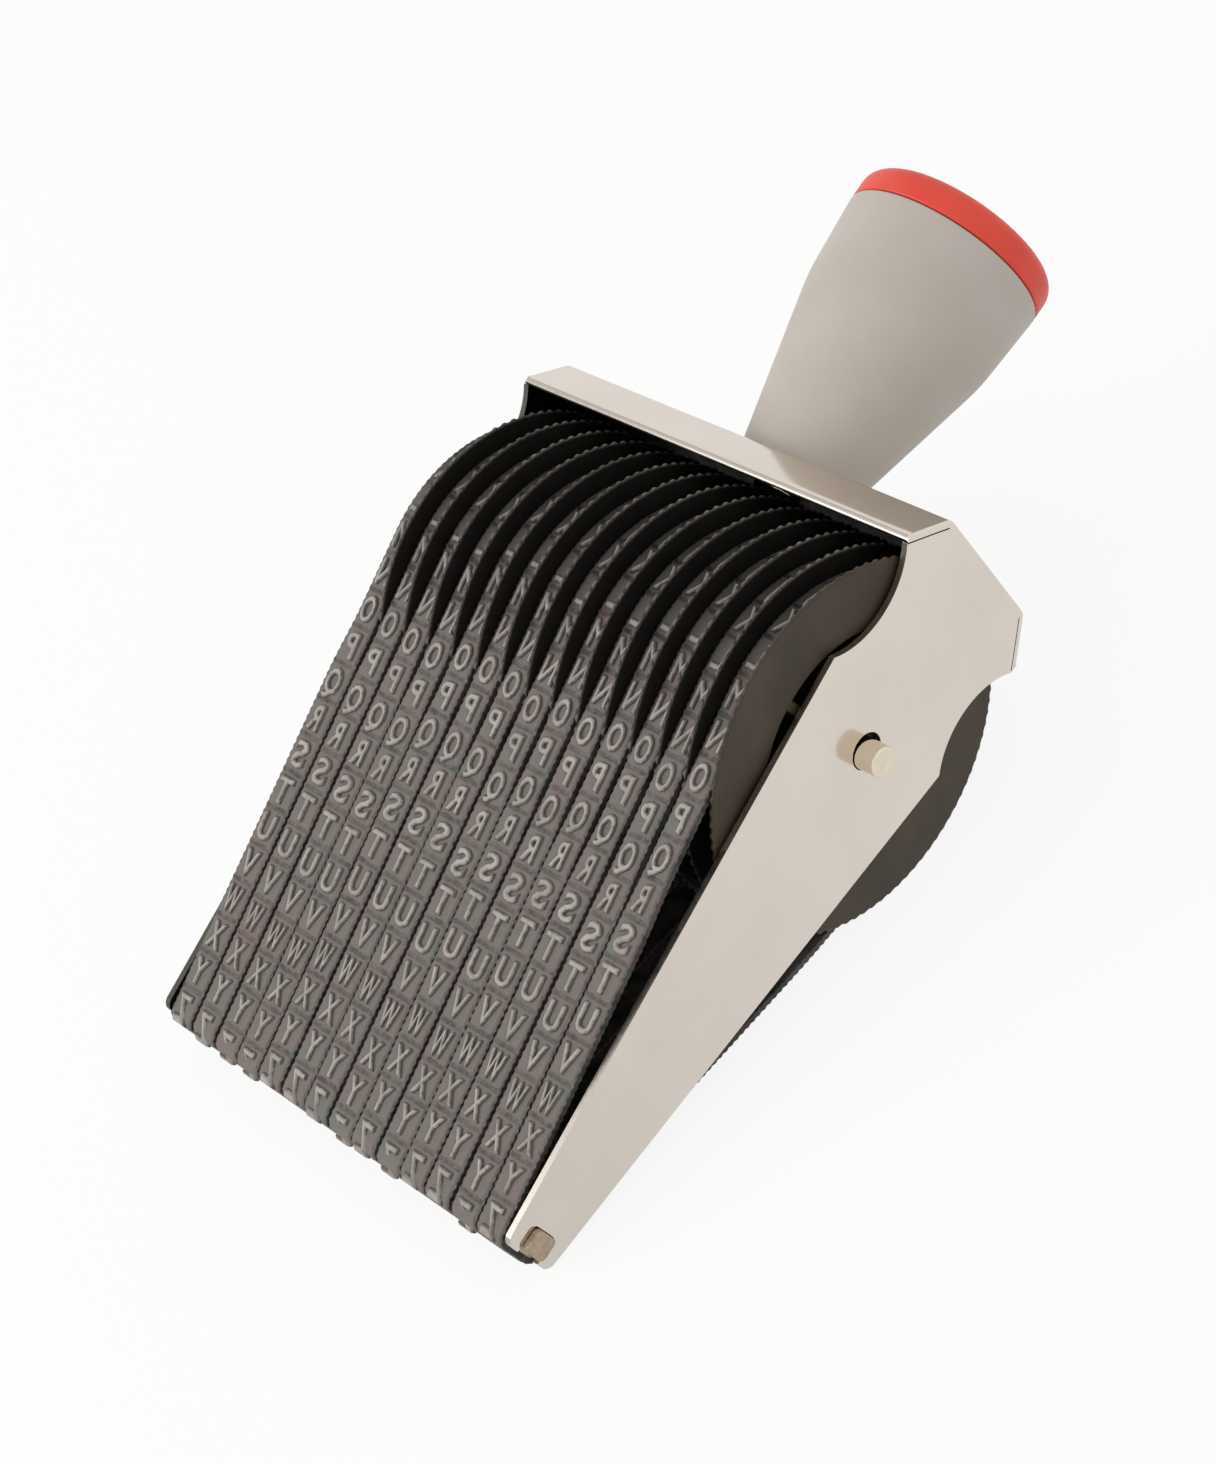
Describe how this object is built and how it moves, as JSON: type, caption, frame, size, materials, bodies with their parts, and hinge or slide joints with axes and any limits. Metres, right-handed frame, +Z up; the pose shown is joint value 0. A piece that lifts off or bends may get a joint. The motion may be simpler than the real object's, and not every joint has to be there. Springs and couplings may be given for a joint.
{
  "type": "band stamp",
  "caption": "Hand stamp with rubber type bands running over flanged thumb wheels and under a platen, in a bent sheet frame with a tapered handle.",
  "frame": {"origin": "middle of the bounding box's floor; the stamp lies on its back on the wheel flanges and its two feet", "axes": "+X along the axle to the flanged side of the wheels, +Y from the printing face towards the handle, +Z up, out of the front of the bands"},
  "size_m": [0.0732, 0.1384, 0.0558],
  "materials": {
    "nickel_plate": "bright nickel plate on bent sheet, slightly blurred reflections",
    "pin_steel": "polished plated steel",
    "platen_steel": "dull grey metal",
    "wheel_plastic": "dark moulded plastic",
    "type_rubber": "matte moulded rubber, lighter on worn type",
    "handle_plastic": "satin moulded plastic",
    "cap_plastic": "red moulded plastic"
  },
  "bodies": {
    "stamp": {"frame": "nickel_plate", "axle": "pin_steel", "platen": "platen_steel", "handle": "handle_plastic", "handle_cap": "cap_plastic", "handle_screw": "pin_steel", "band_01": "type_rubber", "band_02": "type_rubber", "band_03": "type_rubber", "band_04": "type_rubber", "band_05": "type_rubber", "band_06": "type_rubber", "band_07": "type_rubber", "band_08": "type_rubber", "band_09": "type_rubber", "band_10": "type_rubber", "band_11": "type_rubber", "band_12": "type_rubber", "band_13": "type_rubber", "band_14": "type_rubber"},
    "wheel_01_body": {"wheel_01": "wheel_plastic"},
    "wheel_02_body": {"wheel_02": "wheel_plastic"},
    "wheel_03_body": {"wheel_03": "wheel_plastic"},
    "wheel_04_body": {"wheel_04": "wheel_plastic"},
    "wheel_05_body": {"wheel_05": "wheel_plastic"},
    "wheel_06_body": {"wheel_06": "wheel_plastic"},
    "wheel_07_body": {"wheel_07": "wheel_plastic"},
    "wheel_08_body": {"wheel_08": "wheel_plastic"},
    "wheel_09_body": {"wheel_09": "wheel_plastic"},
    "wheel_10_body": {"wheel_10": "wheel_plastic"},
    "wheel_11_body": {"wheel_11": "wheel_plastic"},
    "wheel_12_body": {"wheel_12": "wheel_plastic"},
    "wheel_13_body": {"wheel_13": "wheel_plastic"},
    "wheel_14_body": {"wheel_14": "wheel_plastic"}
  },
  "joints": [
    {"name": "wheel_01_turn", "type": "hinge", "parent": "stamp", "child": "wheel_01_body", "pos_m": [0, 0.0009, 0.0241], "axis": [1, 0, 0], "continuous": true},
    {"name": "wheel_02_turn", "type": "hinge", "parent": "stamp", "child": "wheel_02_body", "pos_m": [0, 0.0009, 0.0241], "axis": [1, 0, 0], "continuous": true},
    {"name": "wheel_03_turn", "type": "hinge", "parent": "stamp", "child": "wheel_03_body", "pos_m": [0, 0.0009, 0.0241], "axis": [1, 0, 0], "continuous": true},
    {"name": "wheel_04_turn", "type": "hinge", "parent": "stamp", "child": "wheel_04_body", "pos_m": [0, 0.0009, 0.0241], "axis": [1, 0, 0], "continuous": true},
    {"name": "wheel_05_turn", "type": "hinge", "parent": "stamp", "child": "wheel_05_body", "pos_m": [0, 0.0009, 0.0241], "axis": [1, 0, 0], "continuous": true},
    {"name": "wheel_06_turn", "type": "hinge", "parent": "stamp", "child": "wheel_06_body", "pos_m": [0, 0.0009, 0.0241], "axis": [1, 0, 0], "continuous": true},
    {"name": "wheel_07_turn", "type": "hinge", "parent": "stamp", "child": "wheel_07_body", "pos_m": [0, 0.0009, 0.0241], "axis": [1, 0, 0], "continuous": true},
    {"name": "wheel_08_turn", "type": "hinge", "parent": "stamp", "child": "wheel_08_body", "pos_m": [0, 0.0009, 0.0241], "axis": [1, 0, 0], "continuous": true},
    {"name": "wheel_09_turn", "type": "hinge", "parent": "stamp", "child": "wheel_09_body", "pos_m": [0, 0.0009, 0.0241], "axis": [1, 0, 0], "continuous": true},
    {"name": "wheel_10_turn", "type": "hinge", "parent": "stamp", "child": "wheel_10_body", "pos_m": [0, 0.0009, 0.0241], "axis": [1, 0, 0], "continuous": true},
    {"name": "wheel_11_turn", "type": "hinge", "parent": "stamp", "child": "wheel_11_body", "pos_m": [0, 0.0009, 0.0241], "axis": [1, 0, 0], "continuous": true},
    {"name": "wheel_12_turn", "type": "hinge", "parent": "stamp", "child": "wheel_12_body", "pos_m": [0, 0.0009, 0.0241], "axis": [1, 0, 0], "continuous": true},
    {"name": "wheel_13_turn", "type": "hinge", "parent": "stamp", "child": "wheel_13_body", "pos_m": [0, 0.0009, 0.0241], "axis": [1, 0, 0], "continuous": true},
    {"name": "wheel_14_turn", "type": "hinge", "parent": "stamp", "child": "wheel_14_body", "pos_m": [0, 0.0009, 0.0241], "axis": [1, 0, 0], "continuous": true}
  ]
}
